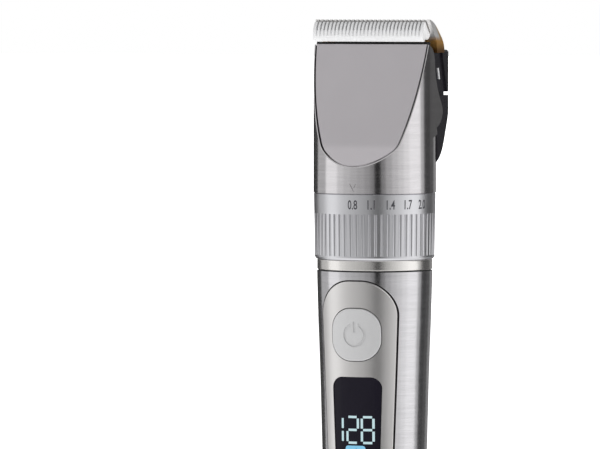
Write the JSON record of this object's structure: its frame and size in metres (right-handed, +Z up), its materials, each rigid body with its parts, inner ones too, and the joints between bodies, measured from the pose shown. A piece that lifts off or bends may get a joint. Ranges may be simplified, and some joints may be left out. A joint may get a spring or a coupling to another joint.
{
  "type": "cordless clipper",
  "caption": "Cordless hand clipper with a steel body, a clip-on comb cassette, a ridged cut-length ring, a power button and a lit display.",
  "frame": {"origin": "middle of the flat bottom of the cap, where the clipper stands", "axes": "+Z up the handle to the blades, -Y the side with the button and display, +X across to the right seen from the button side"},
  "size_m": [0.042, 0.0426, 0.18],
  "materials": {
    "brushed_steel": "fine upright brushing",
    "satin_plate": "satin, blasted",
    "ring_silver": "satin",
    "polished_collar": "polished",
    "button_silver": "matte metallic paint",
    "black_plastic": "glossy",
    "inner_plastic": "matte",
    "black_rubber": "matte",
    "display_black": "smoked gloss",
    "lit_segments": "lit pale blue",
    "board_green": "solder mask",
    "chip_black": "matte",
    "cell_wrap": "shrink wrap",
    "bright_steel": "ground",
    "nickel": "plated",
    "ceramic_white": "fired and ground ceramic",
    "gold_titanium": "gold titanium coating, ground bright at the tips",
    "nylon_white": "moulded"
  },
  "bodies": {
    "handle": {"handle_sleeve": "brushed_steel", "handle_gasket": "black_rubber", "control_panel": "satin_plate", "display_lens": "display_black", "display_digits": "lit_segments", "display_icon": "lit_segments", "display_module": "chip_black", "chassis_front": "inner_plastic", "chassis_rear": "inner_plastic", "main_board": "board_green", "board_chips": "chip_black", "tact_switch": "chip_black", "battery_cell": "cell_wrap", "battery_tabs": "nickel", "bottom_cap": "black_plastic", "cap_screws": "bright_steel", "charging_socket": "nickel", "collar_ring": "polished_collar", "detent_ball": "bright_steel", "detent_spring": "bright_steel", "motor_frame": "inner_plastic", "motor_can": "nickel", "motor_plate": "bright_steel", "motor_screws": "bright_steel", "head_frame": "inner_plastic", "head_shell": "brushed_steel", "front_plate": "satin_plate", "rear_housing": "black_plastic", "plate_bond": "black_rubber", "hinge_pin": "bright_steel"},
    "button": {"power_button": "button_silver", "switch_plunger": "nylon_white"},
    "ring": {"adjusting_ring": "ring_silver"},
    "lifter": {"length_lifter": "nylon_white"},
    "rotor": {"motor_shaft": "bright_steel", "eccentric_cam": "nylon_white"},
    "cassette": {"blade_holder": "black_plastic", "fixed_blade": "gold_titanium", "blade_screws": "bright_steel", "cassette_clips": "bright_steel", "tension_spring": "bright_steel"},
    "guide": {"guide_bar": "inner_plastic"},
    "cutter": {"blade_carrier": "nylon_white", "moving_blade": "ceramic_white"}
  },
  "joints": [
    {"name": "power_press", "type": "slide", "parent": "handle", "child": "button", "axis": [0, 1, 0], "range_m": [0, 0.0005], "stiffness_N_per_m": 1500, "springref_m": -0.0005},
    {"name": "ring_turn", "type": "hinge", "parent": "handle", "child": "ring", "pos_m": [0, 0, 0.109], "axis": [0, 0, 1], "range_deg": [-72, 0]},
    {"name": "length_lift", "type": "slide", "parent": "handle", "child": "lifter", "axis": [0, 0, 1], "range_m": [-0.00076, 0.00001]},
    {"name": "rotor_spin", "type": "hinge", "parent": "handle", "child": "rotor", "pos_m": [0, 0, 0.14], "axis": [0, 0, 1], "continuous": true},
    {"name": "cassette_tilt", "type": "hinge", "parent": "handle", "child": "cassette", "pos_m": [0, 0.0202, 0.1548], "axis": [-1, 0, 0], "range_deg": [0, 40]},
    {"name": "blade_retract", "type": "slide", "parent": "cassette", "child": "guide", "axis": [0, 0.7071, -0.7071], "range_m": [0, 0.00107]},
    {"name": "blade_oscillate", "type": "slide", "parent": "guide", "child": "cutter", "axis": [1, 0, 0], "range_m": [-0.0002, 0.002]}
  ],
  "couplings": [
    {"joint": "length_lift", "follows": "ring_turn", "m_per_rad": 0.00059683},
    {"joint": "blade_retract", "follows": "ring_turn", "m_per_rad": -0.00084405}
  ]
}
